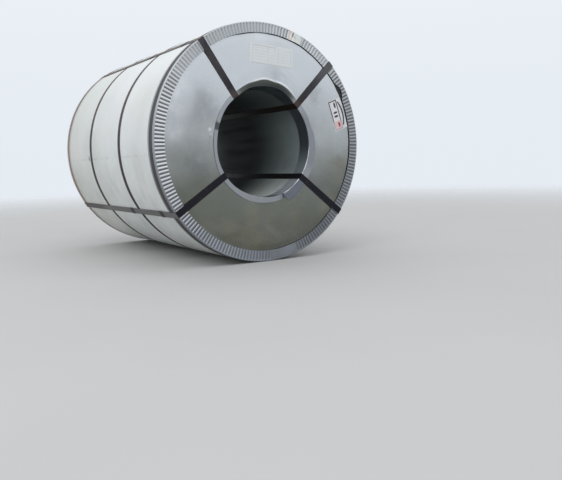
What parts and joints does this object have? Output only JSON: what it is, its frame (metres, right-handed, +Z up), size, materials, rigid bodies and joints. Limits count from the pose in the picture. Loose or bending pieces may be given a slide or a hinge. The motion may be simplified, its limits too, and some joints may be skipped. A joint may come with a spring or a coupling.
{
  "type": "steel coil",
  "caption": "Strapped, sheet-wrapped steel coil lying on its side, with fluted edge rings and a 508 mm bore",
  "frame": {"origin": "under the middle of the coil, on the floor", "axes": "+Y runs along the coil's axis from the front face to the rear face, +Z up, +X to the right as the front face is seen"},
  "size_m": [1.1018, 1.3354, 1.1016],
  "materials": {
    "wound_strip": "galvanised strip, slit edges",
    "wrap_paint": "off-white coil coating, semi-gloss",
    "bore_sheet": "galvanised sheet",
    "cover_sheet": "galvanised sheet, dented",
    "ring_sheet": "bright galvanised sheet, fluted",
    "strap_paint": "blue-black painted strapping",
    "seal_steel": "dark steel seal"
  },
  "bodies": {
    "root": {"bore_sleeve": "bore_sheet", "end_cover_front": "cover_sheet", "end_cover_rear": "cover_sheet", "eye_seal_lower_left_front": "seal_steel", "eye_seal_lower_left_middle": "seal_steel", "eye_seal_lower_right_front": "seal_steel", "eye_seal_lower_right_middle": "seal_steel", "eye_seal_upper_left_front": "seal_steel", "eye_seal_upper_left_middle": "seal_steel", "eye_seal_upper_right_front": "seal_steel", "eye_seal_upper_right_middle": "seal_steel", "eye_strap_lower_left": "strap_paint", "eye_strap_lower_right": "strap_paint", "eye_strap_upper_left": "strap_paint", "eye_strap_upper_right": "strap_paint", "girth_seal_front_end": "seal_steel", "girth_seal_front_middle": "seal_steel", "girth_seal_rear_end": "seal_steel", "girth_seal_rear_middle": "seal_steel", "girth_strap_front_end": "strap_paint", "girth_strap_front_middle": "strap_paint", "girth_strap_rear_end": "strap_paint", "girth_strap_rear_middle": "strap_paint", "inner_edge_ring_front": "ring_sheet", "inner_edge_ring_rear": "ring_sheet", "outer_edge_ring_front": "ring_sheet", "outer_edge_ring_rear": "ring_sheet", "outer_wrap": "wrap_paint", "steel_coil": "wound_strip"}
  },
  "joints": []
}
